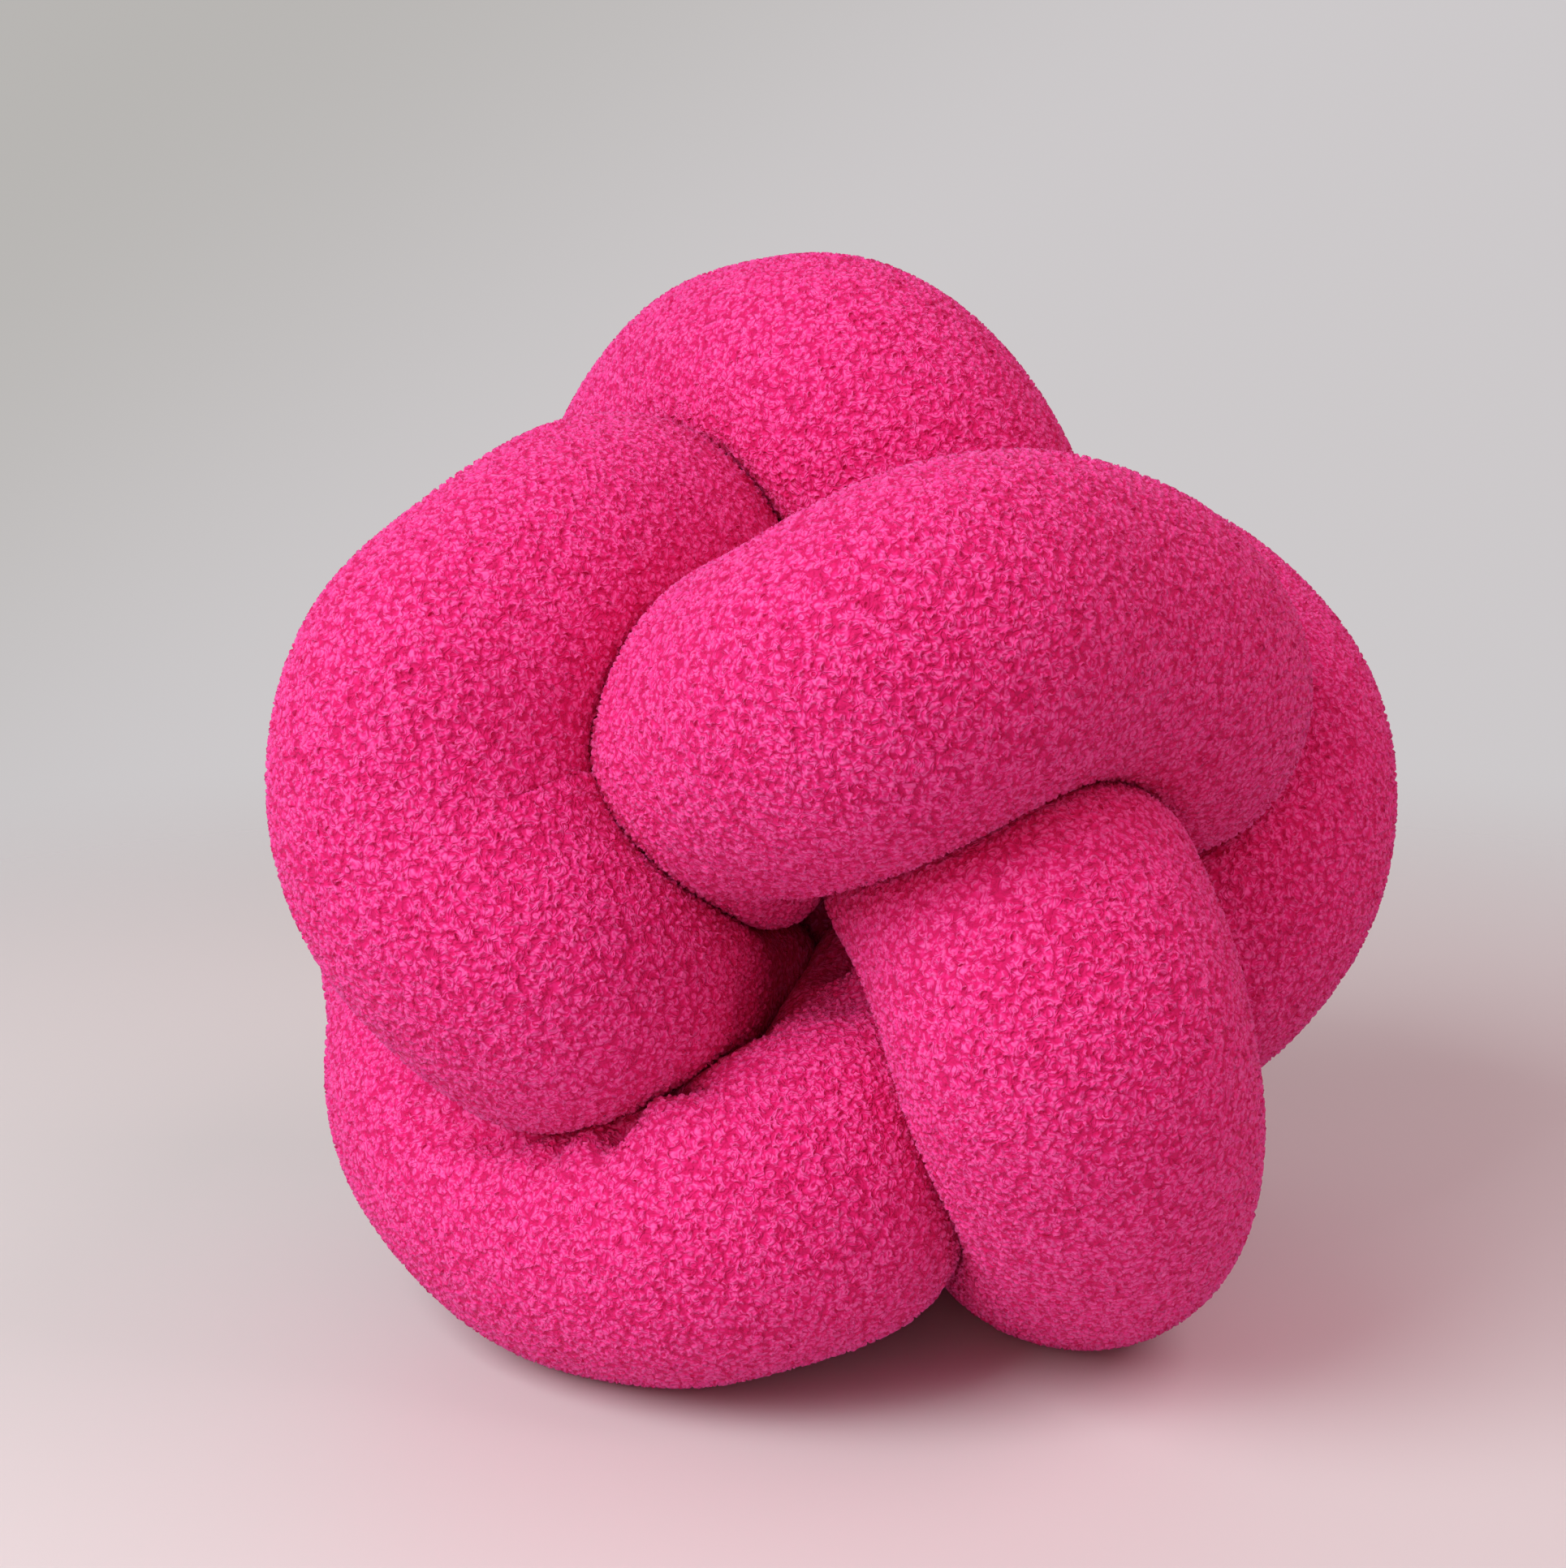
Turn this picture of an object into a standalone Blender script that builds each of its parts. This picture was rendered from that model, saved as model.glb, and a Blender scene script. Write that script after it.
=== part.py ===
"""A knot cushion: one long stuffed tube, tied into a ball-shaped knot with its ends joined inside."""

from collections import namedtuple

import bpy
import numpy as np

MM = 0.001

# The tube before it is tied, and how it gives where it is pressed.
TUBE_RADIUS = 47 * MM
FATTEST = 1.10  # a pressed tube swells at its free side, up to this share of its radius
CROSSING_SHARE = 0.82  # centrelines may come this near, as a share of the tube's width
CLOTH_GAP = 1.2 * MM  # between two pressed stretches of tube
EDGE_ROUNDING = 5.5 * MM  # where a pressed face runs out into the round of the tube
FREE_REACH = 200 * MM  # stands for no neighbour at all

# The ground presses each low bend flat this deep.
FLOOR_DENT = 3.0 * MM

# Steps along the tube and around it.
RINGS = 200
SIDES = 26

# How the knot settles: rounds of pushing apart, bending stiffness, and how firmly each row is held.
SETTLE_ROUNDS = 300
STIFFNESS = 0.25
PUSH_SHARE = 0.35
SAME_BEND_LENGTH = 2.6 * TUBE_RADIUS  # nearer than this along the tube, it's one bend and not a crossing
HOLD = {"firm": 0.35, "steady": 0.20, "loose": 0.12, "free": 0.03}

# Where the tube's centreline runs, in millimetres from the floor's centre: X right, Y back, Z up.
# One row for each bend, pass over or pass under, in order along the tube.
Station = namedtuple("Station", "place x y z hold")
STATIONS = (
    Station("right front, over the bottom bend", 66, -105, 130, "firm"),
    Station("under the top front bend", 48, -35, 170, "free"),
    Station("rising to the top", 42, 20, 230, "loose"),
    Station("top of the ball", 14, 25, 275, "firm"),
    Station("over the top to the back", -30, 80, 265, "loose"),
    Station("upper left back", -65, 120, 205, "loose"),
    Station("left, behind the left bend", -105, 85, 130, "steady"),
    Station("lower left", -103, 0, 80, "loose"),
    Station("bottom bend, left", -62, -57, 53, "firm"),
    Station("bottom bend, right", -24, -80, 61, "firm"),
    Station("up past the hole", 12, -70, 66, "loose"),
    Station("under the right front", 42, -44, 84, "free"),
    Station("coming out at the right", 94, 5, 110, "loose"),
    Station("right of the ball", 129, 25, 148, "firm"),
    Station("right, turning back", 121, 60, 182, "steady"),
    Station("upper right back", 75, 120, 210, "loose"),
    Station("under the top", 5, 95, 205, "free"),
    Station("left bend, its top", -60, -10, 225, "loose"),
    Station("left bend, upper", -86, -45, 218, "firm"),
    Station("left bend, shoulder", -107, -60, 204, "firm"),
    Station("left bend, outermost", -112, -65, 175, "firm"),
    Station("left bend, lower", -101, -72, 151, "firm"),
    Station("left bend, turning in", -79, -78, 134, "firm"),
    Station("left bend, its foot", -63, -60, 117, "firm"),
    Station("under the bottom bend", -50, -20, 85, "loose"),
    Station("bottom, inside", -15, 30, 55, "free"),
    Station("bottom, to the back", 5, 60, 45, "free"),
    Station("lower right back", 70, 100, 65, "free"),
    Station("under the right", 95, 70, 125, "free"),
    Station("top front bend, its right end", 90, -20, 196, "loose"),
    Station("top front bend, right", 52, -85, 226, "firm"),
    Station("top front bend, middle", 27, -110, 223, "firm"),
    Station("top front bend, left", 5, -105, 210, "firm"),
    Station("top front bend, its left end", -11, -75, 197, "loose"),
    Station("under the left bend", -45, -15, 170, "free"),
    Station("left, inside", -80, 35, 150, "free"),
    Station("lower left back", -75, 95, 80, "free"),
    Station("under the bottom back", 15, 60, 80, "free"),
    Station("lower right, at the bottom", 70, -20, 55, "loose"),
    Station("right front, its foot", 75, -70, 70, "firm"),
    Station("right front, lower", 71, -105, 110, "firm"),
)


def clear_scene():
    for item in list(bpy.data.objects):
        bpy.data.objects.remove(item, do_unlink=True)


def around(values):
    """Each value's two neighbours along a closed line, averaged."""
    return (np.roll(values, 1, axis=0) + np.roll(values, -1, axis=0)) / 2


def even_steps(line, count):
    """A closed line of many points, cut into equal steps. Also gives each old point's place in steps."""
    steps = np.linalg.norm(np.roll(line, -1, axis=0) - line, axis=1)
    travelled = np.concatenate([[0], np.cumsum(steps)])
    wanted = np.linspace(0, travelled[-1], count, endpoint=False)
    closed = np.concatenate([line, line[:1]])
    cut = np.stack([np.interp(wanted, travelled, closed[:, axis]) for axis in range(3)], axis=1)
    return cut, travelled / travelled[-1] * count


def closed_curve(corners, pieces=24):
    """A smooth closed curve through the corners: the periodic cubic spline, `pieces` points a span."""
    count = len(corners)
    span = np.sqrt(np.linalg.norm(np.roll(corners, -1, axis=0) - corners, axis=1))
    before = np.roll(span, 1)
    slopes_of = np.zeros((count, count))
    row = np.arange(count)
    slopes_of[row, row - 1] = 1 / before
    slopes_of[row, row] = 2 / before + 2 / span
    slopes_of[row, (row + 1) % count] = 1 / span
    rise_before = (corners - np.roll(corners, 1, axis=0)) / before[:, None] ** 2
    rise_after = (np.roll(corners, -1, axis=0) - corners) / span[:, None] ** 2
    slopes = np.linalg.solve(slopes_of, 3 * (rise_before + rise_after))
    t = np.linspace(0, 1, pieces, endpoint=False)[None, :, None]
    start = corners[:, None]
    end = np.roll(corners, -1, axis=0)[:, None]
    start_slope = (slopes * span[:, None])[:, None]
    end_slope = (np.roll(slopes, -1, axis=0) * span[:, None])[:, None]
    curve = (
        (2 * t**3 - 3 * t**2 + 1) * start
        + (t**3 - 2 * t**2 + t) * start_slope
        + (3 * t**2 - 2 * t**3) * end
        + (t**3 - t**2) * end_slope
    )
    return curve.reshape(-1, 3)


def route():
    """The centreline through the stations in equal steps, and how firmly each of its points is held."""
    corners = np.array([(row.x, row.y, row.z) for row in STATIONS]) * MM
    pieces = 24
    curve = closed_curve(corners, pieces)
    line, place = even_steps(curve, RINGS)
    station_place = place[::pieces]
    holds = np.array([HOLD[row.hold] for row in STATIONS + STATIONS[:1]])
    return line, np.interp(np.arange(RINGS), station_place, holds)


def settle(line, hold):
    """Pushes crossing stretches apart and evens out the bends, while each point is drawn to its place."""
    home = line.copy()
    hold = hold[:, None]
    lowest = TUBE_RADIUS * FATTEST - FLOOR_DENT
    order = np.arange(RINGS)
    apart = np.abs(order[:, None] - order[None])
    apart = np.minimum(apart, RINGS - apart)
    for _ in range(SETTLE_ROUNDS):
        step = np.linalg.norm(np.roll(line, -1, axis=0) - line, axis=1).mean()
        crossing = apart * step > SAME_BEND_LENGTH
        away = line[:, None] - line[None]
        distance = np.sqrt((away**2).sum(axis=2)) + 1e-9
        overlap = np.maximum(2 * TUBE_RADIUS * CROSSING_SHARE - distance, 0) * crossing
        push = (away * (overlap / distance)[:, :, None]).sum(axis=1)
        line = line + PUSH_SHARE * push / np.maximum((overlap > 0).sum(axis=1), 1)[:, None]
        line = line + STIFFNESS * (around(line) - line)
        bend = around(line) - line
        line = line - STIFFNESS * (around(bend) - bend)
        line = line + hold * (home - line)
        line[:, 2] = np.maximum(line[:, 2], lowest)
    return line


def smaller(a, b, rounding):
    """The smaller of two lengths, with the step from one to the other rounded."""
    share = np.clip(0.5 + 0.5 * (b - a) / rounding, 0, 1)
    return b * (1 - share) + a * share - rounding * share * (1 - share)


def room(line, directions):
    """How far the tube reaches from each ring's centre in each direction before it meets another stretch.

    Two stretches meet half way, so the limit is the plane midway to each other point of the centreline:
    |c|^2 / (2 n.c), where c runs to that point and n is the direction. Near points give the bend's own
    radius, which keeps the inner side of a sharp bend from crossing itself.
    """
    to_others = line[None] - line[:, None]
    squared = (to_others**2).sum(axis=2)[:, None]
    facing = np.einsum("isk,ijk->isj", directions, to_others)
    reach = np.where(facing > 1e-9, squared / (2 * np.maximum(facing, 1e-9)), FREE_REACH)
    return np.minimum(reach.min(axis=2), FREE_REACH) - CLOTH_GAP / 2


def pressed_radii(limit):
    """The tube's radius by ring and side: round where it is free, flat where it is pressed.

    Each ring keeps the area that it had before it was tied, by swelling at its free sides.
    """
    swollen = np.full(len(limit), TUBE_RADIUS)
    for _ in range(4):
        radius = smaller(swollen[:, None], limit, EDGE_ROUNDING)
        kept = (radius**2).mean(axis=1) / TUBE_RADIUS**2
        swollen = np.clip(swollen / np.sqrt(kept), 0.9 * TUBE_RADIUS, FATTEST * TUBE_RADIUS)
        for _ in range(6):
            swollen = (around(swollen) + swollen) / 2
    radius = smaller(swollen[:, None], limit, EDGE_ROUNDING)
    for _ in range(2):
        beside = (np.roll(radius, 1, axis=1) + np.roll(radius, -1, axis=1)) / 2
        radius = np.minimum((around(radius) + beside + 2 * radius) / 4, limit)
    return radius


def round_tube(line):
    """A plain closed tube along the centreline, made as a curve with a round bevel and then a mesh."""
    guide = bpy.data.curves.new("centreline", "CURVE")
    guide.dimensions = "3D"
    guide.bevel_depth = TUBE_RADIUS
    guide.bevel_resolution = SIDES // 2 - 2
    spline = guide.splines.new("POLY")
    spline.points.add(len(line) - 1)
    spline.points.foreach_set("co", np.column_stack([line, np.ones(len(line))]).ravel())
    spline.use_cyclic_u = True
    guide_object = bpy.data.objects.new("centreline", guide)
    bpy.context.scene.collection.objects.link(guide_object)
    evaluated = guide_object.evaluated_get(bpy.context.evaluated_depsgraph_get())
    mesh = bpy.data.meshes.new_from_object(evaluated)
    bpy.data.objects.remove(guide_object, do_unlink=True)
    bpy.data.curves.remove(guide)
    return mesh


def press(mesh, line):
    """Moves each point of the round tube to where it ends up in the tied knot, with its lowest face at Z = 0."""
    points = np.empty(len(mesh.vertices) * 3)
    mesh.vertices.foreach_get("co", points)
    outward = points.reshape(RINGS, SIDES, 3) - line[:, None]
    outward = outward / np.linalg.norm(outward, axis=2, keepdims=True)
    radius = pressed_radii(room(line, outward))
    pressed = (line[:, None] + outward * radius[:, :, None]).reshape(-1, 3)
    pressed[:, 2] = np.maximum(pressed[:, 2], 0)
    middle = (pressed.max(axis=0) + pressed.min(axis=0)) / 2
    pressed[:, :2] -= middle[:2]
    mesh.vertices.foreach_set("co", pressed.ravel())
    mesh.update()


def pink_fleece():
    material = bpy.data.materials.new("pink_fleece")
    material.use_nodes = True
    shader = material.node_tree.nodes["Principled BSDF"]
    shader.inputs["Base Color"].default_value = (0.78, 0.02, 0.19, 1)
    shader.inputs["Roughness"].default_value = 0.95
    shader.inputs["Metallic"].default_value = 0
    return material


def build_cushion():
    collection = bpy.data.collections.new("knot_cushion")
    bpy.context.scene.collection.children.link(collection)
    line = settle(*route())
    mesh = round_tube(line)
    press(mesh, line)
    mesh.name = "knotted_tube"
    mesh.materials.clear()
    mesh.materials.append(pink_fleece())
    mesh.shade_smooth()
    collection.objects.link(bpy.data.objects.new("knotted_tube", mesh))


clear_scene()
build_cushion()
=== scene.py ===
import math

import bpy
import numpy as np
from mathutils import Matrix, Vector


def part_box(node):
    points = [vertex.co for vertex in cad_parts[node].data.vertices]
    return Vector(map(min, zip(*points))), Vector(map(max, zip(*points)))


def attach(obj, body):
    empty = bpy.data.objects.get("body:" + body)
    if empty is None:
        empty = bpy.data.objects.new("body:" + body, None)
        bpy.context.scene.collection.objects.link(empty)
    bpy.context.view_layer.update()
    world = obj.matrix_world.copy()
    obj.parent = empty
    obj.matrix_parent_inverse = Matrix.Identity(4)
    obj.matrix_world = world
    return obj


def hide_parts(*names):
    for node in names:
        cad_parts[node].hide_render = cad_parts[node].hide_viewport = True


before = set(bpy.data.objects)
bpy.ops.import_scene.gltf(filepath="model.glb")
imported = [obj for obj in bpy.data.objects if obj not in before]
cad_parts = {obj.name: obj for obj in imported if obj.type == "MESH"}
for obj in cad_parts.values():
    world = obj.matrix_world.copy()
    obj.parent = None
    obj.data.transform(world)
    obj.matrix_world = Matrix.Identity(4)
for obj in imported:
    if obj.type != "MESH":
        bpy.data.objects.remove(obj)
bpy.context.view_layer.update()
print("frame loaded")


# Shader building: maths on sockets is written as plain arithmetic, and any other node comes from Nodes.node.

class Number:
    # a socket that carries a number: each sum or product with it adds a Math node
    def __init__(self, nodes, socket):
        self.nodes = nodes
        self.socket = socket

    def maths(self, operation, first, second):
        node = self.nodes.node("ShaderNodeMath", {"operation": operation}, {0: first, 1: second})
        return Number(self.nodes, node.outputs[0])

    def __add__(self, other):
        return self.maths("ADD", self, other)

    def __radd__(self, other):
        return self.maths("ADD", other, self)

    def __sub__(self, other):
        return self.maths("SUBTRACT", self, other)

    def __rsub__(self, other):
        return self.maths("SUBTRACT", other, self)

    def __mul__(self, other):
        return self.maths("MULTIPLY", self, other)

    def __rmul__(self, other):
        return self.maths("MULTIPLY", other, self)

    def rising(self, low, high):
        # 0 where the number is low, and 1 where it is high: (number - low) / (high - low)
        return (self - low) * (1 / (high - low))


class Nodes:
    # one node tree
    def __init__(self, tree):
        self.tree = tree

    def node(self, kind, settings, inputs):
        # a new node: its settings first, then a value or a link for each socket
        made = self.tree.nodes.new(kind)
        for key, value in settings.items():
            setattr(made, key, value)
        for key, value in inputs.items():
            self.feed(made.inputs[key], value)
        return made

    def feed(self, socket, value):
        if isinstance(value, Number):
            value = value.socket
        if isinstance(value, bpy.types.NodeSocket):
            self.tree.links.new(value, socket)
        else:
            socket.default_value = value

    def number(self, socket):
        return Number(self, socket)

    def mix(self, share, first, second):
        # a colour between two others: the first where the share is 0 or less, the second where it is 1 and up
        inputs = {"Factor": share, 6: first, 7: second}
        return self.node("ShaderNodeMix", {"data_type": "RGBA"}, inputs).outputs[2]

    def softNoise(self, place, scale):
        return self.node("ShaderNodeTexNoise", {}, {"Vector": place, "Scale": scale, "Detail": 0.0})

    def smoothRange(self, value, low, high):
        # 0 to 1 from low to high, along an S curve
        inputs = {"Value": value, "From Min": low, "From Max": high}
        return self.node("ShaderNodeMapRange", {"interpolation_type": "SMOOTHSTEP"}, inputs).outputs[0]


class Finish(Nodes):
    # one material and its nodes
    def __init__(self, name):
        self.material = bpy.data.materials.new(name)
        self.material.use_nodes = True
        super().__init__(self.material.node_tree)
        self.shader = self.tree.nodes["Principled BSDF"]


def makeMesh(name, points, faces, cornerUv, finish):
    # a mesh from whole arrays: points n x 3, faces n x 3 or n x 4, and a place on the map for each corner
    mesh = bpy.data.meshes.new(name)
    mesh.vertices.add(len(points))
    mesh.vertices.foreach_set("co", np.ascontiguousarray(points, np.float32).ravel())
    mesh.loops.add(faces.size)
    mesh.loops.foreach_set("vertex_index", np.ascontiguousarray(faces, np.int32).ravel())
    mesh.polygons.add(len(faces))
    mesh.polygons.foreach_set("loop_start", np.arange(0, faces.size, faces.shape[1], dtype=np.int32))
    mesh.update(calc_edges=True)
    layer = mesh.uv_layers.new(name="OFBake")
    layer.uv.foreach_set("vector", np.ascontiguousarray(cornerUv, np.float32).ravel())
    mesh.shade_smooth()
    mesh.materials.append(finish.material)
    made = bpy.data.objects.new(name, mesh)
    bpy.context.scene.collection.objects.link(made)
    return made


def addValues(piece, name, values):
    # one number for each point, which the piece's material reads by name
    attribute = piece.data.attributes.new(name, "FLOAT", "POINT")
    attribute.data.foreach_set("value", np.ascontiguousarray(values, np.float32).ravel())


# The knot: one long stuffed tube, tied into a ball. Lengths are in metres.

knot = {
    "tubeRadius": 0.047,
    "fattest": 1.10,         # a pressed tube swells at its free side, up to this share of its radius
    "thinnest": 0.90,        # and no tube gets thinner than this share
    "crossingShare": 0.82,   # centrelines come this near, as a share of the tube's width
    "clothGap": 0.0003,      # between two pressed stretches
    "edgeRounding": 0.0055,  # where a free side turns into a pressed one
    "freeReach": 0.200,      # no neighbour counts beyond this
    "floorDent": 0.003,      # the ground presses each low bend flat this deep
    "stationSteps": 24,      # points of the first curve from station to station
    "guideRings": 200,       # steps while it settles
    "guideSides": 26,
    "guideSteps": 6,         # points of the finished curve from guide ring to guide ring
    "rings": 720,            # steps of the finished surface
    "sides": 84,
    "rounds": 300,           # while it settles
    "stiffness": 0.25,       # share of a bend that one round eases
    "pushShare": 0.35,       # share of an overlap that one round undoes
    "sameBend": 2.6,         # in tube radii: stretches nearer than this along the tube never push each other
    "hold": {"firm": 0.35, "steady": 0.20, "loose": 0.12, "free": 0.03},
    "swellRounds": 4,
    "swellSpread": 6,        # rounds that even the swelling out along the tube
    "softenings": 6,         # rounds that soften the finished surface
}

# The centreline in millimetres: what it passes, X right, Y back, Z up, and how firmly it is held there.
stations = (
    ("right front, over the bottom bend", 66, -105, 130, "firm"),
    ("under the top front bend", 48, -35, 170, "free"),
    ("rising to the top", 42, 20, 230, "loose"),
    ("top of the ball", 14, 25, 275, "firm"),
    ("over the top to the back", -30, 80, 265, "loose"),
    ("upper left back", -65, 120, 205, "loose"),
    ("left, behind the left bend", -105, 85, 130, "steady"),
    ("lower left", -103, 0, 80, "loose"),
    ("bottom bend, left", -62, -57, 53, "firm"),
    ("bottom bend, right", -24, -80, 61, "firm"),
    ("up past the hole", 12, -70, 66, "loose"),
    ("under the right front", 42, -44, 84, "free"),
    ("coming out at the right", 94, 5, 110, "loose"),
    ("right of the ball", 129, 25, 148, "firm"),
    ("right, turning back", 121, 60, 182, "steady"),
    ("upper right back", 75, 120, 210, "loose"),
    ("under the top", 5, 95, 205, "free"),
    ("left bend, its top", -60, -10, 225, "loose"),
    ("left bend, upper", -86, -45, 218, "firm"),
    ("left bend, shoulder", -107, -60, 204, "firm"),
    ("left bend, outermost", -112, -65, 175, "firm"),
    ("left bend, lower", -101, -72, 151, "firm"),
    ("left bend, turning in", -79, -78, 134, "firm"),
    ("left bend, its foot", -63, -60, 117, "firm"),
    ("under the bottom bend", -50, -20, 85, "loose"),
    ("bottom, inside", -15, 30, 55, "free"),
    ("bottom, to the back", 5, 60, 45, "free"),
    ("lower right back", 70, 100, 65, "free"),
    ("under the right", 95, 70, 125, "free"),
    ("top front bend, its right end", 90, -20, 196, "loose"),
    ("top front bend, right", 52, -85, 226, "firm"),
    ("top front bend, middle", 27, -110, 223, "firm"),
    ("top front bend, left", 5, -105, 210, "firm"),
    ("top front bend, its left end", -11, -75, 197, "loose"),
    ("under the left bend", -45, -15, 170, "free"),
    ("left, inside", -80, 35, 150, "free"),
    ("lower left back", -75, 95, 80, "free"),
    ("under the bottom back", 15, 60, 80, "free"),
    ("lower right, at the bottom", 70, -20, 55, "loose"),
    ("right front, its foot", 75, -70, 70, "firm"),
    ("right front, lower", 71, -105, 110, "firm"),
)


def around(values):
    # each value's two neighbours along a closed line, averaged
    return (np.roll(values, 1, axis=0) + np.roll(values, -1, axis=0)) / 2


def lengthOf(vectors):
    return np.linalg.norm(vectors, axis=-1, keepdims=True)


def evenSteps(line, count):
    # the closed line cut into equal steps, and each old point's place in steps
    steps = lengthOf(np.roll(line, -1, axis=0) - line)[:, 0]
    travelled = np.concatenate([[0], np.cumsum(steps)])
    wanted = np.linspace(0, travelled[-1], count, endpoint=False)
    closed = np.concatenate([line, line[:1]])
    cut = np.stack([np.interp(wanted, travelled, closed[:, axis]) for axis in range(3)], axis=1)
    return cut, travelled / travelled[-1] * count


def closedCurve(corners, pieces):
    # the periodic cubic spline through the corners: slopes from one linear system, then Hermite's formula
    count = len(corners)
    span = np.sqrt(lengthOf(np.roll(corners, -1, axis=0) - corners))[:, 0]
    before = np.roll(span, 1)
    slopesOf = np.zeros((count, count))
    row = np.arange(count)
    slopesOf[row, row - 1] = 1 / before
    slopesOf[row, row] = 2 / before + 2 / span
    slopesOf[row, (row + 1) % count] = 1 / span
    riseBefore = (corners - np.roll(corners, 1, axis=0)) / before[:, None] ** 2
    riseAfter = (np.roll(corners, -1, axis=0) - corners) / span[:, None] ** 2
    slopes = np.linalg.solve(slopesOf, 3 * (riseBefore + riseAfter))
    t = np.linspace(0, 1, pieces, endpoint=False)[None, :, None]
    start = corners[:, None]
    end = np.roll(corners, -1, axis=0)[:, None]
    startSlope = (slopes * span[:, None])[:, None]
    endSlope = (np.roll(slopes, -1, axis=0) * span[:, None])[:, None]
    curve = (
        (2 * t**3 - 3 * t**2 + 1) * start
        + (t**3 - 2 * t**2 + t) * startSlope
        + (3 * t**2 - 2 * t**3) * end
        + (t**3 - t**2) * endSlope
    )
    return curve.reshape(-1, 3)


def settledLine():
    # the centreline through the stations, settled in rounds. Each point moves away from stretches that are
    # too near, by a share of the mean overlap. Its bend is eased by a share of the way to the middle of its
    # neighbours, less a share of what their bends have over its own. Then it is drawn home by its hold, and
    # kept above the ground.
    pieces = knot["stationSteps"]
    corners = np.array([row[1:4] for row in stations]) / 1000
    line, place = evenSteps(closedCurve(corners, pieces), knot["guideRings"])
    holds = np.array([knot["hold"][row[4]] for row in stations + stations[:1]])
    order = np.arange(knot["guideRings"])
    hold = np.interp(order, place[::pieces], holds)[:, None]
    home = line.copy()
    lowest = knot["tubeRadius"] * knot["fattest"] - knot["floorDent"]
    apart = np.abs(order[:, None] - order[None])
    apart = np.minimum(apart, knot["guideRings"] - apart)
    near = 2 * knot["tubeRadius"] * knot["crossingShare"]
    for _ in range(knot["rounds"]):
        step = lengthOf(np.roll(line, -1, axis=0) - line).mean()
        away = line[:, None] - line[None]
        distance = np.sqrt((away**2).sum(axis=2)) + 1e-9
        overlap = np.maximum(near - distance, 0) * (apart * step > knot["sameBend"] * knot["tubeRadius"])
        push = (away * (overlap / distance)[:, :, None]).sum(axis=1)
        line = line + knot["pushShare"] * push / np.maximum((overlap > 0).sum(axis=1), 1)[:, None]
        line = line + knot["stiffness"] * (around(line) - line)
        bend = around(line) - line
        line = line - knot["stiffness"] * (around(bend) - bend)
        line = line + hold * (home - line)
        line[:, 2] = np.maximum(line[:, 2], lowest)
    return line


def directionsRound(line, sides):
    # for each ring, unit vectors round the tube: first * cos(angle) + second * sin(angle). Each ring's first
    # vector is the last ring's, turned as little as the bend allows, and the twist left over is shared out.
    along = np.roll(line, -1, axis=0) - np.roll(line, 1, axis=0)
    along = along / lengthOf(along)
    first = np.empty_like(line)
    first[0] = np.cross(along[0], [0, 0, 1])
    first[0] /= np.linalg.norm(first[0])
    for ring in range(1, len(line)):
        turned = first[ring - 1] - along[ring] * (first[ring - 1] @ along[ring])
        first[ring] = turned / np.linalg.norm(turned)
    second = np.cross(along, first)
    last = first[-1] - along[0] * (first[-1] @ along[0])
    twist = math.atan2(last @ second[0], last @ first[0])
    angle = np.linspace(0, 2 * np.pi, sides, endpoint=False)[None]
    angle = (angle - np.linspace(0, twist, len(line))[:, None])[:, :, None]
    return first[:, None] * np.cos(angle) + second[:, None] * np.sin(angle)


def smaller(a, b, rounding):
    # the smaller of two lengths, with the step from one to the other rounded off by a parabola
    share = np.clip(0.5 + 0.5 * (b - a) / rounding, 0, 1)
    return b * (1 - share) + a * share - rounding * share * (1 - share)


def roomRound(line, directions, others):
    # how far each ring may reach before it meets another stretch half way: |c|^2 / (2 n.c), the least over
    # the other points of the centreline, where c runs to that point and n is the direction
    ringsAtOnce = 60
    reach = np.empty(directions.shape[:2])
    for part in np.array_split(np.arange(len(line)), max(1, len(line) // ringsAtOnce)):
        toOthers = others[None] - line[part, None]
        squared = (toOthers**2).sum(axis=2)[:, None]
        facing = np.einsum("isk,ijk->isj", directions[part], toOthers)
        halfWay = np.where(facing > 1e-9, squared / (2 * np.maximum(facing, 1e-9)), knot["freeReach"])
        reach[part] = halfWay.min(axis=2)
    return np.minimum(reach, knot["freeReach"]) - knot["clothGap"] / 2


def swollenRadii(line):
    # how far each ring swells where it is free, so that a pressed ring keeps its area: divided by the root of
    # the share of the area that is left
    limit = roomRound(line, directionsRound(line, knot["guideSides"]), line)
    plain = knot["tubeRadius"]
    swollen = np.full(len(line), plain)
    for _ in range(knot["swellRounds"]):
        radius = smaller(swollen[:, None], limit, knot["edgeRounding"])
        kept = (radius**2).mean(axis=1) / plain**2
        swollen = np.clip(swollen / np.sqrt(kept), knot["thinnest"] * plain, knot["fattest"] * plain)
        for _ in range(knot["swellSpread"]):
            swollen = (around(swollen) + swollen) / 2
    return swollen


def waves(points, wavelength, count, seed):
    # soft unevenness about 0: sine waves that run different ways, added up, over the root of their number
    random = np.random.default_rng(seed)
    ways = random.normal(size=(count, 3))
    ways = ways / lengthOf(ways) * 2 * np.pi / (wavelength * random.uniform(0.7, 1.5, (count, 1)))
    phases = random.uniform(0, 2 * np.pi, count)
    return np.sin(points @ ways.T + phases).sum(axis=-1) / np.sqrt(count)


def softened(values, rounds):
    # each value of a rings x sides grid averaged with its four neighbours, again and again
    for _ in range(rounds):
        beside = (np.roll(values, 1, axis=1) + np.roll(values, -1, axis=1)) / 2
        values = (around(values) + beside + 2 * values) / 4
    return values


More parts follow.
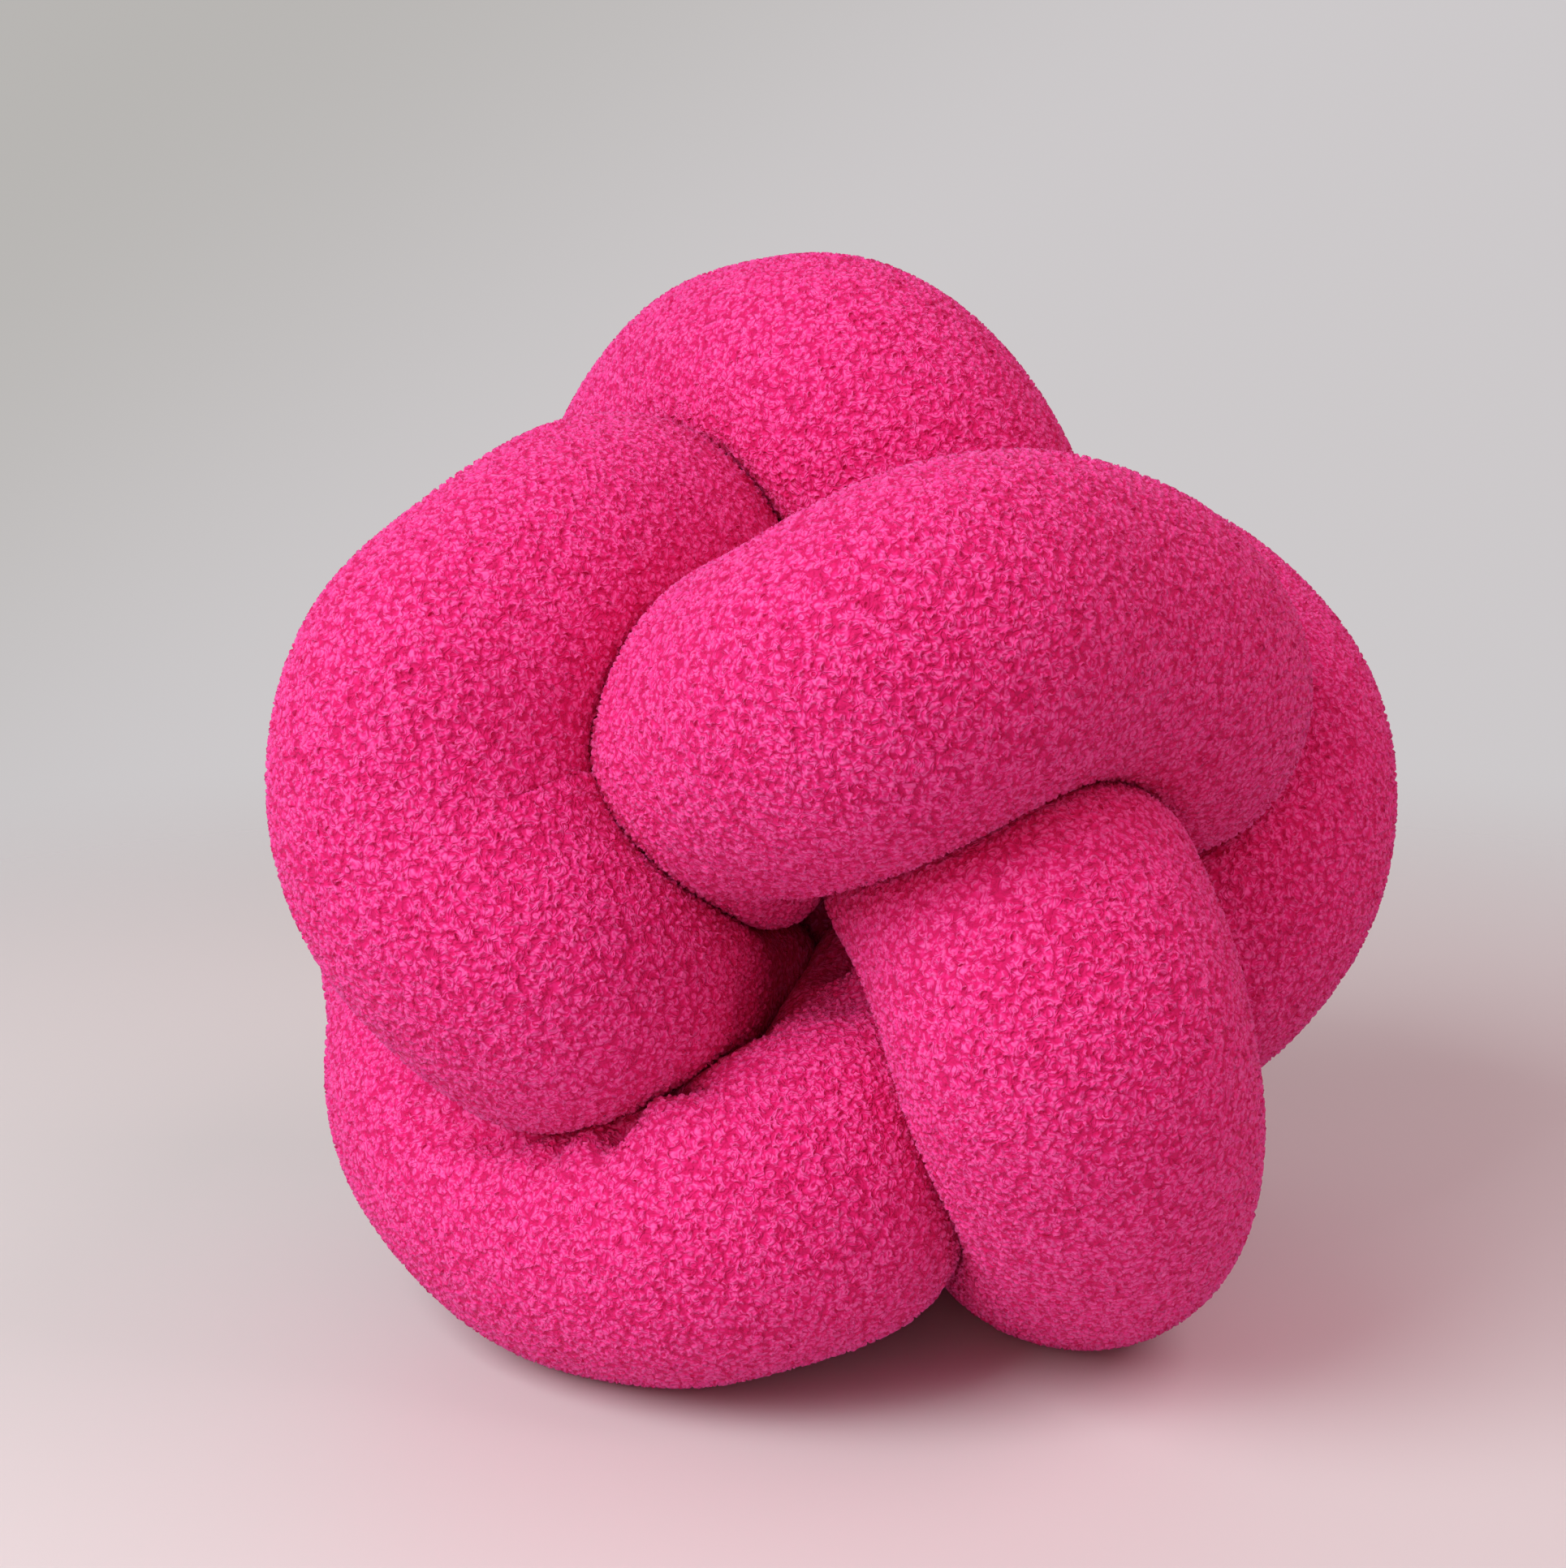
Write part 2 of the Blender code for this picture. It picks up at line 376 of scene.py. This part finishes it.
def knotSurface():
    # the pressed tube: each ring's centre plus direction times radius, the smaller of the swollen radius and
    # the room it has. Gives the rings x sides points, the centres, the outward directions and the slack that
    # is left before a neighbour.
    steps = knot["guideSteps"]
    line = settledLine()
    swollen = swollenRadii(line)
    fine, place = evenSteps(closedCurve(line, steps), knot["rings"])
    ring = np.arange(knot["rings"])
    swollenFine = np.interp(ring, place[::steps], np.append(swollen, swollen[0]))
    directions = directionsRound(fine, knot["sides"])
    limit = roomRound(fine, directions, fine[::2])
    radius = smaller(swollenFine[:, None], limit, knot["edgeRounding"])
    for _ in range(knot["softenings"]):
        radius = np.minimum(softened(radius, 1), limit)
    points = fine[:, None] + directions * radius[:, :, None]
    points[:, :, 2] = np.maximum(points[:, :, 2], 0)
    corners = points.reshape(-1, 3)
    low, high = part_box("knotted_tube")
    shift = np.array(low + high) / 2 - (corners.min(axis=0) + corners.max(axis=0)) / 2
    shift[2] = 0
    return points + shift, fine + shift, directions, limit - radius


def normalsOf(points):
    # outward normals of a rings x sides surface that closes both ways: the cross product of its two slopes
    alongRing = np.roll(points, -1, axis=0) - np.roll(points, 1, axis=0)
    aroundRing = np.roll(points, -1, axis=1) - np.roll(points, 1, axis=1)
    normal = np.cross(aroundRing, alongRing)
    return normal / np.maximum(lengthOf(normal), 1e-12)


def gridFaces(rings, sides):
    # the four corners of each face, as numbers into the flat list of points
    ring, side = np.meshgrid(np.arange(rings), np.arange(sides), indexing="ij")
    ringNext = (ring + 1) % rings
    sideNext = (side + 1) % sides
    here = ring * sides
    ahead = ringNext * sides
    corners = (here + side, here + sideNext, ahead + sideNext, ahead + side)
    return np.stack(corners, axis=-1).reshape(-1, 4)


def rowsMap(rings, sides, rows):
    # the tube's map: its length cut into a few rows, so that it fills a square. u runs along the tube, and v
    # round it, with a margin at each side of a row.
    ring, side = np.meshgrid(np.arange(rings), np.arange(sides), indexing="ij")
    margin = 0.02
    used = 1 - 2 * margin
    perRow = rings // rows
    row = ring // perRow
    u = (ring % perRow) / perRow
    v = (row + margin + used * side / sides) / rows
    du = 1 / perRow
    dv = used / sides / rows
    corners = ((u, v), (u, v + dv), (u + du, v + dv), (u + du, v))
    return np.stack([np.stack(corner, axis=-1) for corner in corners], axis=2).reshape(-1, 2)


# The dyed fleece. Its deeper and paler colours are painted shade and painted highlights on the pile's relief.
# Colours are linear red, green and blue. A pair says where a colour starts to take over from the one before
# it, and where it has done so.
fleece = {
    "deep": (0.70, 0.010, 0.160, 1),    # painted shade: low places of the ground and the curls' edges
    "plain": (0.81, 0.034, 0.305, 1),
    "paintedHighlight": (0.92, 0.155, 0.500, 1),  # painted highlight on the ridges of the curls and of the ground
    "paintedGapShade": (0.64, 0.011, 0.155, 1),     # painted shade, down between the tufts
    "roughness": 0.75,
    "curlRoughness": 0.6,
    "sheen": 0.14,
    "sheenRoughness": 0.5,
    "sheenTint": (1.0, 0.30, 0.55, 1),
    "specular": 0.15,
    "bendScale": 380.0,          # noise that bends the patterns
    "bendBy": 0.0016,
    "tuftScale": 470.0,
    "tuftSlope": 1.9,
    "tuftHeight": 0.6,           # shares of the ground's height
    "yarnHeight": 0.18,
    "leastHeight": 0.25,
    "yarnScale": 480.0,          # noise whose contour lines the yarn follows
    "yarnTurns": 24.0,
    "plainAt": (0.263, 0.789),   # of the ground's height, where painted shade gives way to the plain colour
    # where the painted highlight takes over, by the ground's height
    "highlightAt": (0.55, 1.05),
    "gapShadeAt": (0.042, 0.458),    # of a tuft's height, where the painted gap shade gives way
    "bumpDepth": 0.0006,
    "curlPlainAt": (0.0, 0.625),  # of a curl's painted ridge light, where painted shade at its edges gives way to the plain colour
    # where the painted gap shade on the curls gives way, by the tuft's height
    "curlGapShadeAt": (-0.042, 0.375),
    "twistScale": 1050.0,        # small dimples, where the curls' yarn is twisted
    "twistStrength": 0.8,
    "twistDepth": 0.0003,
}


def fleeceFinish(name):
    # a finish with the fleece's soft shine. Gives it with the place, bent by noise, that the patterns read,
    # and the height of the tufts there: 1 - slope * distance^2, over the cells of a Voronoi pattern.
    finish = Finish(name)
    place = finish.node("ShaderNodeTexCoord", {}, {}).outputs["Object"]
    bend = finish.softNoise(place, fleece["bendScale"]).outputs["Color"]
    bent = finish.node("ShaderNodeVectorMath", {"operation": "MULTIPLY_ADD"},
                       {0: bend, 1: (fleece["bendBy"],) * 3, 2: place}).outputs["Vector"]
    tufts = finish.node("ShaderNodeTexVoronoi", {}, {"Vector": bent, "Scale": fleece["tuftScale"]})
    far = finish.number(tufts.outputs["Distance"])
    shader = finish.shader
    shader.inputs["Sheen Weight"].default_value = fleece["sheen"]
    shader.inputs["Sheen Roughness"].default_value = fleece["sheenRoughness"]
    shader.inputs["Sheen Tint"].default_value = fleece["sheenTint"]
    shader.inputs["Specular IOR Level"].default_value = fleece["specular"]
    return finish, bent, 1 - far * far * fleece["tuftSlope"]


def skinFinish():
    # the ground cloth: tufts with curled yarn on them, sin(turns * noise), which follows the contour lines of
    # a soft noise. Its colour paints shade in low places and between the tufts, and a highlight on the
    # ridges.
    finish, place, tuft = fleeceFinish("fleece_ground")
    level = finish.softNoise(place, fleece["yarnScale"]).outputs["Fac"]
    turn = finish.number(level) * fleece["yarnTurns"]
    yarn = finish.number(finish.node("ShaderNodeMath", {"operation": "SINE"}, {0: turn}).outputs[0])
    height = tuft * fleece["tuftHeight"] + yarn * fleece["yarnHeight"] + fleece["leastHeight"]
    # painted shade in low places and between the tufts, painted highlight on the ridges
    colour = finish.mix(height.rising(*fleece["plainAt"]), fleece["deep"], fleece["plain"])
    colour = finish.mix(height.rising(*fleece["highlightAt"]), colour, fleece["paintedHighlight"])
    colour = finish.mix(tuft.rising(*fleece["gapShadeAt"]), fleece["paintedGapShade"], colour)
    bump = finish.node("ShaderNodeBump", {}, {"Distance": fleece["bumpDepth"], "Height": height})
    finish.feed(finish.shader.inputs["Base Color"], colour)
    finish.feed(finish.shader.inputs["Normal"], bump.outputs["Normal"])
    finish.shader.inputs["Roughness"].default_value = fleece["roughness"]
    return finish


# The tube's cloth skin, under the curls of its pile.
skin = {
    "below": 0.0011,       # under the knot's outside: the curls fill the rest
    "pressedFrom": 0.004,  # with less slack than this before a neighbour, the pile is pressed
    "pressedLeast": 0.15,  # share of its depth that the most pressed pile keeps
    "lumps": 0.0005,       # the filling's unevenness
    "lumpLength": 0.070,
    "lumpWaves": 24,
    "lumpSeed": 3,
    "overFloor": 0.0004,
    "mapRows": 3,
}

# Places where the cloth is drawn in: stretch of tube, from and to in millimetres, half width and depth. A
# depth below 0 bulges.
gathers = (
    ("fold at the left", "bottom bend", (-106, -86, 79), (-128, -71, 79), 5.5, 9.0),
    ("first pleat", "bottom bend", (-93, -92, 82), (-108, -95, 73), 4.5, 7.0),
    ("between the pleats", "bottom bend", (-89, -94, 84), (-102, -102, 73), 4.0, -3.5),
    ("second pleat", "bottom bend", (-83, -99, 83), (-93, -109, 72), 4.5, 7.0),
    ("beside the pleats", "bottom bend", (-76, -103, 87), (-85, -113, 77), 4.0, -3.5),
    ("third pleat", "bottom bend", (-68, -108, 88), (-75, -114, 80), 4.0, 6.0),
    ("notch", "bottom bend", (-68, -105, 88), (-59, -108, 92), 5.0, 9.0),
    ("cloth between the notches", "bottom bend", (-56, -109, 94), (-55, -118, 88), 7.0, -5.0),
    ("notch at the right", "bottom bend", (-53, -100, 96), (-43, -105, 101), 5.0, 9.0),
    ("under the hole", "bottom bend", (-4, -78, 125), (-22, -72, 118), 14.0, 12.0),
    ("under the hole, behind", "bottom bend", (-4, -43, 127), (-16, -60, 123), 15.0, 16.0),
    ("right of the hole", "bottom bend", (-3, -30, 127), (-8, -56, 122), 13.0, 15.0),
    ("left of the hole", "left bend", (-26, -84, 120), (-18, -40, 122), 14.0, 6.0),
    ("over the hole", "top front bend", (-14, -83, 145), (-30, -98, 150), 12.0, 7.0),
    ("inside of the bend", "left bend", (-80, -93, 184), (-104, -112, 185), 13.0, -7.0),
)
stretches = {  # from and to, as shares of the tube's length
    "bottom bend": (0.21, 0.33),
    "left bend": (0.49, 0.58),
    "top front bend": (0.77, 0.81),
}
gatherFade = 0.6  # this share of the depth is lost towards the end of its line


def gathered(points, directions):
    # each row pushes the cloth in along its line: depth * exp(-(distance / width)^2), less towards its end
    rings = points.shape[0]
    alongTube = np.arange(rings)[:, None] / rings
    for _, stretch, start, end, width, depth in gathers:
        first, last = stretches[stretch]
        start = np.array(start) / 1000
        way = np.array(end) / 1000 - start
        share = np.clip(((points - start) @ way) / (way @ way), 0, 1)
        distance = lengthOf(points - start - share[:, :, None] * way)[:, :, 0]
        push = depth / 1000 * (1 - gatherFade * share) * np.exp(-((distance * 1000 / width) ** 2))
        push = push * (alongTube > first) * (alongTube < last)
        points = points - directions * push[:, :, None]
    return points


def makeSkin(points, directions, slack):
    # the knot's surface, moved along its directions by the lumps minus the depth of the pile, then gathered
    lumps = waves(points, skin["lumpLength"], skin["lumpWaves"], skin["lumpSeed"]) * skin["lumps"]
    free = np.clip(slack / skin["pressedFrom"], skin["pressedLeast"], 1)
    inset = gathered(points + directions * ((lumps - skin["below"]) * free)[:, :, None], directions)
    inset[:, :, 2] = np.maximum(inset[:, :, 2], skin["overFloor"])
    rings, sides = points.shape[:2]
    cornerUv = rowsMap(rings, sides, skin["mapRows"])
    body = makeMesh("stuffed_tube", inset.reshape(-1, 3), gridFaces(rings, sides), cornerUv, skinFinish())
    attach(body, "root")
    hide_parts("knotted_tube")
    return inset


# The pile: small curls of yarn, each bent like a C, that lie on the skin turned every way. Some stand up.
curls = {
    "count": 72000,
    "pieces": 5,
    "radius": 0.00092,       # of the bend
    "arc": 105,              # degrees from its middle to each end
    "setBack": 0.4,          # of the radius, so that the bend's middle line lies over its place
    "outerWidth": 0.00060,   # from the yarn's middle line to its outer edge
    "innerWidth": 0.00040,
    "height": 0.00042,       # of its ridge over its middle line
    "lift": 0.00030,         # of the bend's middle over the skin
    "sunk": 0.00010,         # of the yarn's edges, into the skin
    "overFloor": 0.0001,
    "tilt": (0, 24),         # degrees from lying flat
    "standing": 0.15,        # this share stands up steeper
    "standingBy": 37,        # by this many degrees
    "sizes": (0.7, 1.3),     # each curl's own share of the radius
    "arcs": (0.75, 1.1),     # of the arc
    "widths": (0.8, 1.25),   # and of the width
    "shades": (0.25, 0.95),  # and how strong the painted highlight on its ridge is
    "least": 0.0003,         # a curl needs at least this much slack before a neighbouring stretch
    "open": 0.08,            # and at least this share of open ways out
    "slackSoftenings": 30,
    "openSoftenings": 12,
    "stepPlace": (0.15, 0.85),    # where in its step of cloth area a curl lies
    "shift": 0.618034,            # across a ring from one curl to the next: the golden ratio
    "shiftPlace": (-0.1, 0.1),    # unevenness of that
    "seed": 11,
}


def openness(points, normals, line):
    # the share of ways out of each place that no stretch of tube crosses. A way d from the place p is crossed
    # by the tube at c where it passes nearer than its radius: |c-p|^2 - ((c-p).d)^2 < radius^2, (c-p).d > 0.
    # The ways are spread over a sphere in a spiral: equal steps of height, turned on by the golden angle.
    wayCount = 64
    partCount = 12
    tube = 0.92 * knot["tubeRadius"]
    leastFacing = 0.1
    turns = np.arange(wayCount)
    height = 1 - (2 * turns + 1) / wayCount
    turn = turns * np.pi * (3 - np.sqrt(5))
    flat = np.sqrt(1 - height**2)
    ways = np.stack([flat * np.cos(turn), flat * np.sin(turn), height], axis=1)
    share = np.empty(len(points))
    for part in np.array_split(np.arange(len(points)), partCount):
        toLine = line[None] - points[part, None]
        ahead = np.einsum("pck,wk->pwc", toLine, ways)
        beside = (toLine**2).sum(axis=2)[:, None] - ahead**2
        crossed = ((beside < tube**2) & (ahead > 0)).any(axis=2)
        facing = normals[part] @ ways.T > leastFacing
        share[part] = (facing & ~crossed).sum(axis=1) / facing.sum(axis=1)
    return share


def curlPlaces(points, normals, slack, line):
    # where the curls lie: equal steps of cloth area, taken ring after ring, shifted across each ring by the
    # golden ratio. Pressed cloth and cloth that can't be seen counts as no area. Gives each curl's ring, its
    # column, and how far it lies across that face and along it.
    rings, sides = points.shape[:2]
    ringSkip, sideSkip = 6, 4
    patches = points[::ringSkip, ::sideSkip].reshape(-1, 3)
    seen = openness(patches, normals[::ringSkip, ::sideSkip].reshape(-1, 3), line)
    seen = seen.reshape(rings // ringSkip, sides // sideSkip)
    seen = np.repeat(np.repeat(seen, ringSkip, axis=0), sideSkip, axis=1)
    seen = softened(seen, curls["openSoftenings"]) > curls["open"]
    free = softened(slack, curls["slackSoftenings"]) > curls["least"]
    step = np.roll(points, -1, axis=0) - points
    side = np.roll(points, -1, axis=1) - points
    area = lengthOf(np.cross(step, side))[:, :, 0] * free * seen
    total = np.cumsum(area.ravel())
    random = np.random.default_rng(curls["seed"])
    count = curls["count"]
    wanted = (np.arange(count) + random.uniform(*curls["stepPlace"], count)) / count * total[-1]
    face = np.searchsorted(total, wanted)
    share = 1 - (total[face] - wanted) / np.maximum(area.ravel()[face], 1e-12)
    across = (np.arange(count) * curls["shift"] + random.uniform(*curls["shiftPlace"], count)) % 1
    print(f"curls lie {math.sqrt(total[-1] / count) * 1000:.2f} mm apart")
    return face // sides, face % sides, across, share


def between(values, ring, column, across, share):
    # the surface's values at places inside its faces, from each face's four corners by their shares
    rings, sides = values.shape[:2]
    ringNext = (ring + 1) % rings
    columnNext = (column + 1) % sides
    across = across[:, None]
    share = share[:, None]
    near = values[ring, column] * (1 - share) + values[ring, columnNext] * share
    far = values[ringNext, column] * (1 - share) + values[ringNext, columnNext] * share
    return near * (1 - across) + far * across


def onSkin(points, foot, normal):
    # points moved along the normal until they lie the sunk depth under the skin
    over = ((points - foot) * normal).sum(axis=-1, keepdims=True)
    return points - normal * (over + curls["sunk"])


def curlShapes(foot, normal, random):
    # each curl: an end, three rings of edge, ridge and edge, and the other end. Edges and ends reach the
    # skin. Its middle line is an arc: centre + radius * (forward * sin(turn) + outward * cos(turn)), in a
    # plane that is tilted out of the skin.
    count = len(foot)
    forward = np.cross(normal, random.normal(size=(count, 3)))
    forward = forward / lengthOf(forward)
    sideways = np.cross(normal, forward)
    low, high = curls["tilt"]
    tilt = random.uniform(low, high, (count, 1))
    stands = random.uniform(size=(count, 1)) < curls["standing"]
    tilt = np.radians(np.where(stands, tilt + curls["standingBy"], tilt))
    outward = sideways * np.cos(tilt) + normal * np.sin(tilt)
    up = (normal * np.cos(tilt) - sideways * np.sin(tilt))[:, None]
    radius = curls["radius"] * random.uniform(*curls["sizes"], (count, 1, 1))
    arc = curls["arc"] * random.uniform(*curls["arcs"], (count, 1))
    turn = np.radians(np.array([-1, -0.52, 0, 0.52, 1]) * arc)[:, :, None]
    radial = forward[:, None] * np.sin(turn) + outward[:, None] * np.cos(turn)
    line = foot[:, None] + normal[:, None] * curls["lift"] + radial * radius
    line = line - outward[:, None] * radius * curls["setBack"]
    wide = random.uniform(*curls["widths"], (count, 1, 1))
    middle = line[:, 1:4]
    inner = middle - radial[:, 1:4] * curls["innerWidth"] * wide
    outer = middle + radial[:, 1:4] * curls["outerWidth"] * wide
    edges = onSkin(np.stack([inner, outer], axis=2), foot[:, None, None], normal[:, None, None])
    ridge = middle + up * curls["height"]
    rings = np.stack([edges[:, :, 0], ridge, edges[:, :, 1]], axis=2).reshape(count, 9, 3)
    ends = onSkin(line[:, [0, 4]], foot[:, None], normal[:, None])
    return np.concatenate([ends[:, :1], rings, ends[:, 1:]], axis=1)


def curlFaces():
    # twelve triangles: two at each end, and four for each step from ring to ring
    faces = [(0, 2, 1), (0, 3, 2), (10, 7, 8), (10, 8, 9)]
    for ring in (1, 4):
        for side in (0, 1):
            a, b = ring + side, ring + side + 1
            faces += [(a, b, b + 3), (a, b + 3, a + 3)]
    return np.array(faces)[:, ::-1]


def curlMap():
    # where each corner of a curl lies in its cell of the map: along the curl and across it, inside a margin
    margin = 0.1
    along = np.array([0, 1, 1, 1, 2, 2, 2, 3, 3, 3, 4]) / 4
    across = np.array([1, 0, 1, 2, 0, 1, 2, 0, 1, 2, 1]) / 2
    corner = curlFaces().ravel()
    return margin + (1 - 2 * margin) * np.stack([along[corner], across[corner]], axis=1)


def curlFinish():
    # a curl's yarn: painted shade at its edges and between the tufts, a painted highlight on its ridge,
    # each curl a little different
    finish, place, tuft = fleeceFinish("fleece_curls")
    paintedRidgeLight = finish.number(finish.node("ShaderNodeAttribute", {"attribute_name": "paintedRidgeLight"}, {}).outputs["Fac"])
    shade = finish.number(finish.node("ShaderNodeAttribute", {"attribute_name": "shade"}, {}).outputs["Fac"])
    # painted shade at the curl's edges and between the tufts, painted highlight on its ridge
    colour = finish.mix(paintedRidgeLight.rising(*fleece["curlPlainAt"]), fleece["deep"], fleece["plain"])
    colour = finish.mix(paintedRidgeLight * shade, colour, fleece["paintedHighlight"])
    colour = finish.mix(tuft.rising(*fleece["curlGapShadeAt"]), fleece["paintedGapShade"], colour)
    dimples = finish.node("ShaderNodeTexVoronoi", {}, {"Vector": place, "Scale": fleece["twistScale"]})
    twist = {"Strength": fleece["twistStrength"], "Distance": fleece["twistDepth"]}
    bump = finish.node("ShaderNodeBump", {"invert": True}, {**twist, "Height": dimples.outputs["Distance"]})
    finish.feed(finish.shader.inputs["Base Color"], colour)
    finish.feed(finish.shader.inputs["Normal"], bump.outputs["Normal"])
    finish.shader.inputs["Roughness"].default_value = fleece["curlRoughness"]
    return finish


def makeCurls(skinPoints, slack, line):
    # every curl's eleven points in one array, cut into a few pieces. The painted ridge light is 1 on a ridge,
    # for a painted highlight, and near 0 at an edge, for painted shade; shade is one random number for each
    # curl.
    normals = normalsOf(skinPoints)
    places = curlPlaces(skinPoints, normals, slack, line)
    foot = between(skinPoints, *places)
    normal = between(normals, *places)
    normal = normal / lengthOf(normal)
    random = np.random.default_rng(curls["seed"] + 1)
    points = curlShapes(foot, normal, random)
    points[:, :, 2] = np.maximum(points[:, :, 2], curls["overFloor"])
    count, each = points.shape[:2]
    # painted light along each curl: 1 on a ridge for a painted highlight, near 0 at edges and ends for
    # painted shade
    paintedRidgeLight = np.tile([0.2, 0.1, 1, 0.1, 0.1, 1, 0.1, 0.1, 1, 0.1, 0.2], (count, 1))
    shade = np.repeat(random.uniform(*curls["shades"], (count, 1)), each, axis=1)
    finish = curlFinish()
    faces = curlFaces()
    corners = curlMap()
    for number, part in enumerate(np.array_split(np.arange(count), curls["pieces"])):
        cells = math.ceil(math.sqrt(len(part)))
        own = np.arange(len(part))
        cell = np.stack([own % cells, own // cells], axis=1)
        uv = (cell[:, None] + corners[None]) / cells
        flat = (faces[None] + each * own[:, None, None]).reshape(-1, 3)
        piece = makeMesh(f"fleece_curls_{number + 1}", points[part].reshape(-1, 3), flat, uv, finish)
        addValues(piece, "paintedRidgeLight", paintedRidgeLight[part])
        addValues(piece, "shade", shade[part])
        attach(piece, "root")


# The stage: a round pale floor that fades out into a plain backdrop, darker at its upper left.
stage = {
    "rings": (0.001, 0.3, 0.6, 1.2, 2.6),
    "steps": 96,
    "solidTo": 0.38,    # the floor fades from here
    "goneAt": 1.0,      # to here
    "floorColour": (0.70, 0.79, 0.765, 1),
    "floorRoughness": 0.5,
    "floorSpecular": 0.3,
    "backdropDark": (0.48, 0.465, 0.45, 1),
    "backdropLight": (0.61, 0.585, 0.595, 1),
    "slope": (4.0, -5.4),         # the backdrop's light, by the direction's X and Z
    "slopeRange": (-1.5, 0.2),    # dark at the first, light at the second
    "roomColour": (0.32, 0.155, 0.17, 1),  # in front, where the room is dim
    "behind": (0.2, 0.6),         # of the direction's Y: between these the room turns into the backdrop
}


def makeFloor():
    # rings of points round the Z axis: radius * (sin(turn), -cos(turn)). The small hole is under the cushion.
    radius = np.array(stage["rings"])
    turn = np.linspace(0, 2 * np.pi, stage["steps"], endpoint=False)
    points = np.stack([np.outer(radius, np.sin(turn)), -np.outer(radius, np.cos(turn)),
                       np.zeros((len(radius), len(turn)))], axis=2).reshape(-1, 3)
    faces = gridFaces(len(radius), len(turn))[: (len(radius) - 1) * len(turn), ::-1]
    finish = Finish("pale_floor")
    place = finish.node("ShaderNodeTexCoord", {}, {}).outputs["Object"]
    distance = finish.node("ShaderNodeVectorMath", {"operation": "LENGTH"}, {0: place}).outputs["Value"]
    solid = finish.smoothRange(distance, stage["goneAt"], stage["solidTo"])
    finish.feed(finish.shader.inputs["Alpha"], solid)
    finish.shader.inputs["Base Color"].default_value = stage["floorColour"]
    finish.shader.inputs["Roughness"].default_value = stage["floorRoughness"]
    finish.shader.inputs["Specular IOR Level"].default_value = stage["floorSpecular"]
    floor = makeMesh("floor", points, faces, np.zeros((faces.size, 2)), finish)


# Soft light from a window at the left, with two dimmer ones that stand for what the room throws back.
lights = {
    # name: place, where it points, width, height, power, colour
    "window": ((-1.15, -0.90, 1.29), (0, 0, 0.15), 1.3, 1.3, 30, (1.0, 0.98, 1.0)),
    "right": ((1.19, -0.25, 1.45), (0, 0, 0.15), 1.2, 1.2, 11, (1.0, 0.58, 0.66)),
    "front": ((-0.35, -1.75, 0.55), (0, 0, 0.15), 1.4, 0.9, 7, (1.0, 0.36, 0.38)),
}


def aim(thing, place, target):
    # a light shines along its own -Z
    thing.location = place
    thing.rotation_euler = (Vector(target) - Vector(place)).to_track_quat("-Z", "Y").to_euler()


def makeWorld():
    # the world's own colour, by direction: the backdrop behind the cushion, and the dim room in front
    world = bpy.data.worlds.new("backdrop")
    world.use_nodes = True
    nodes = Nodes(world.node_tree)
    background = world.node_tree.nodes["Background"]
    direction = nodes.node("ShaderNodeTexCoord", {}, {}).outputs["Generated"]
    split = nodes.node("ShaderNodeSeparateXYZ", {}, {0: direction}).outputs
    byAcross, byUp = stage["slope"]
    sloping = nodes.number(split["X"]) * byAcross + nodes.number(split["Z"]) * byUp
    light = nodes.smoothRange(sloping, *stage["slopeRange"])
    backdrop = nodes.mix(light, stage["backdropDark"], stage["backdropLight"])
    behind = nodes.smoothRange(split["Y"], *stage["behind"])
    nodes.feed(background.inputs["Color"], nodes.mix(behind, stage["roomColour"], backdrop))
    bpy.context.scene.world = world


def makeLights():
    # area lights, each turned to its target
    for name, (place, target, width, height, power, colour) in lights.items():
        data = bpy.data.lights.new(name, "AREA")
        data.shape = "RECTANGLE"
        data.size = width
        data.size_y = height
        data.energy = power
        data.color = colour
        light = bpy.data.objects.new(name, data)
        bpy.context.scene.collection.objects.link(light)
        aim(light, place, target)


# The camera stands where the photograph was taken from, as found from the knot's outline there.
camera = {
    "target": (-0.0054, -0.0042, 0.1566),
    "distance": 0.811,
    "elevation": 12.0,
    "viewWidth": 34.0,               # degrees
    "pictureSize": (1929, 1932),
    "targetPixel": (1027, 1006),
}


def makeCamera():
    # the camera looks straight at the target, and the lens is shifted to put the target at its pixel
    data = bpy.data.cameras.new("camera")
    data.sensor_fit = "HORIZONTAL"
    data.sensor_width = 36
    data.lens = data.sensor_width / 2 / math.tan(math.radians(camera["viewWidth"] / 2))
    width, height = camera["pictureSize"]
    column, row = camera["targetPixel"]
    data.shift_x = (width / 2 - column) / width
    data.shift_y = (row - height / 2) / width
    data.clip_start = 0.01
    data.clip_end = 50
    up = math.radians(camera["elevation"])
    x, y, z = camera["target"]
    away = camera["distance"]
    made = bpy.data.objects.new("camera", data)
    made.location = (x, y - away * math.cos(up), z + away * math.sin(up))
    made.rotation_euler = (math.pi / 2 - up, 0, 0)
    bpy.context.scene.collection.objects.link(made)
    bpy.context.scene.camera = made
    bpy.context.scene.view_settings.view_transform = "Standard"


makeCamera()
makeWorld()
makeLights()
makeFloor()
print("camera, light and floor ready")
surface, centreLine, outwardWays, slack = knotSurface()
print("the knot is settled")
skinPoints = makeSkin(surface, outwardWays, slack)
print("skin made")
makeCurls(skinPoints, slack, centreLine[::4])  # a fourth of the centres will do to find what hides a place
print("curls made")
